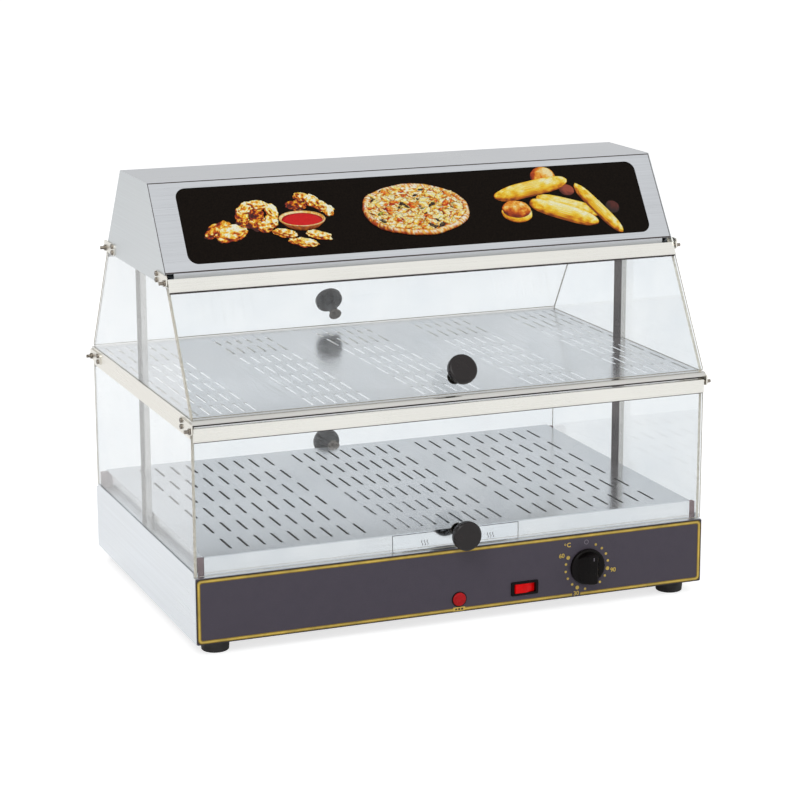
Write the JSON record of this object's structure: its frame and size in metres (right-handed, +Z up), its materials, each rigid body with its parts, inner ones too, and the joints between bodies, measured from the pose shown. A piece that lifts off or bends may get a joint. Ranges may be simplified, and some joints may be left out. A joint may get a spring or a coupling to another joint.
{
  "type": "hot food display case",
  "caption": "Two-level heated countertop display case with glass flap doors front and rear, perforated shelves, water drawer and a lit canopy.",
  "frame": {"origin": "on the surface the case stands on, midway between its four feet", "axes": "+X to the right across the control front, +Y towards the rear, +Z up; the control front faces -Y"},
  "size_m": [0.805, 0.595, 0.636],
  "materials": {
    "case_steel": "brushed stainless steel",
    "canopy_steel": "brushed stainless steel, greyer",
    "inner_steel": "plain galvanised or stainless sheet",
    "polished_steel": "polished stainless steel",
    "strip_steel": "satin stainless profile",
    "screw_steel": "plain steel",
    "clear_glass": "clear toughened glass",
    "foot_rubber": "matt black rubber",
    "fascia_film": "dark violet-grey printed film",
    "sign_black": "printed black acrylic",
    "black_plastic": "moulded phenolic plastic",
    "red_lens": "translucent red lens",
    "lamp_glass": "fluorescent tube, white coated",
    "white_plastic": "white moulded plastic",
    "inner_plastic": "black moulded plastic",
    "heater_sheath": "oxidised heater sheath",
    "copper_tube": "copper capillary and bulb"
  },
  "bodies": {
    "case": {"base_shell": "case_steel", "bottom_plate": "inner_steel", "base_screws": "screw_steel", "rubber_feet": "foot_rubber", "front_fascia": "fascia_film", "deck_frame": "polished_steel", "lower_deck": "polished_steel", "lower_side_glass_left": "clear_glass", "lower_side_glass_right": "clear_glass", "upper_side_glass_left": "clear_glass", "upper_side_glass_right": "clear_glass", "side_rail_left": "strip_steel", "side_rail_right": "strip_steel", "post_left": "polished_steel", "post_right": "polished_steel", "upper_shelf": "polished_steel", "shelf_edge_front": "polished_steel", "shelf_edge_rear": "polished_steel", "canopy_shell": "canopy_steel", "canopy_end_left": "canopy_steel", "canopy_end_right": "canopy_steel", "canopy_floor": "inner_steel", "sign_panel": "sign_black", "lamp_tube": "lamp_glass", "lamp_holders": "white_plastic", "lamp_ballast": "inner_steel", "heat_shield": "inner_steel", "heating_element": "heater_sheath", "heater_brackets": "inner_steel", "thermostat_body": "inner_plastic", "thermostat_probe": "copper_tube", "switch_housing": "black_plastic", "pilot_lamp": "red_lens", "cable_gland": "inner_plastic", "terminal_block": "white_plastic", "hinge_brackets": "strip_steel", "bracket_screws": "screw_steel"},
    "lower_front_door": {"lower_front_glass": "clear_glass", "lower_front_top_strip": "strip_steel", "lower_front_hinge_pins": "screw_steel", "lower_front_knob": "black_plastic", "lower_front_knob_screw": "screw_steel"},
    "upper_front_door": {"upper_front_glass": "clear_glass", "upper_front_top_strip": "strip_steel", "upper_front_hinge_pins": "screw_steel", "upper_front_knob": "black_plastic", "upper_front_knob_screw": "screw_steel"},
    "lower_rear_door": {"lower_rear_glass": "clear_glass", "lower_rear_top_strip": "strip_steel", "lower_rear_hinge_pins": "screw_steel", "lower_rear_knob": "black_plastic", "lower_rear_knob_screw": "screw_steel"},
    "upper_rear_door": {"upper_rear_glass": "clear_glass", "upper_rear_top_strip": "strip_steel", "upper_rear_hinge_pins": "screw_steel", "upper_rear_knob": "black_plastic", "upper_rear_knob_screw": "screw_steel"},
    "thermostat_dial": {"thermostat_dial": "black_plastic"},
    "switch_rocker": {"switch_rocker": "red_lens"},
    "water_drawer": {"water_drawer": "polished_steel"}
  },
  "joints": [
    {"name": "lower_front_hinge", "type": "hinge", "parent": "case", "child": "lower_front_door", "pos_m": [0, -0.2575, 0.323], "axis": [-1, 0, 0], "range_deg": [0, 100]},
    {"name": "upper_front_hinge", "type": "hinge", "parent": "case", "child": "upper_front_door", "pos_m": [0, -0.154, 0.509], "axis": [-1, 0, 0], "range_deg": [0, 100]},
    {"name": "lower_rear_hinge", "type": "hinge", "parent": "case", "child": "lower_rear_door", "pos_m": [0, 0.2575, 0.323], "axis": [1, 0, 0], "range_deg": [0, 100]},
    {"name": "upper_rear_hinge", "type": "hinge", "parent": "case", "child": "upper_rear_door", "pos_m": [0, 0.154, 0.509], "axis": [1, 0, 0], "range_deg": [0, 100]},
    {"name": "dial_turn", "type": "hinge", "parent": "case", "child": "thermostat_dial", "pos_m": [0.204, -0.2623, 0.063], "axis": [0, 1, 0], "range_deg": [0, 300]},
    {"name": "rocker_tilt", "type": "hinge", "parent": "case", "child": "switch_rocker", "pos_m": [0.104, -0.255, 0.042], "axis": [0, 0, -1], "range_deg": [0, 20]},
    {"name": "drawer_slide", "type": "slide", "parent": "case", "child": "water_drawer", "axis": [0, -1, 0], "range_m": [0, 0.24]}
  ],
  "couplings": [
    {"joint": "drawer_slide", "follows": "lower_front_hinge", "m_per_rad": 0.1375}
  ]
}
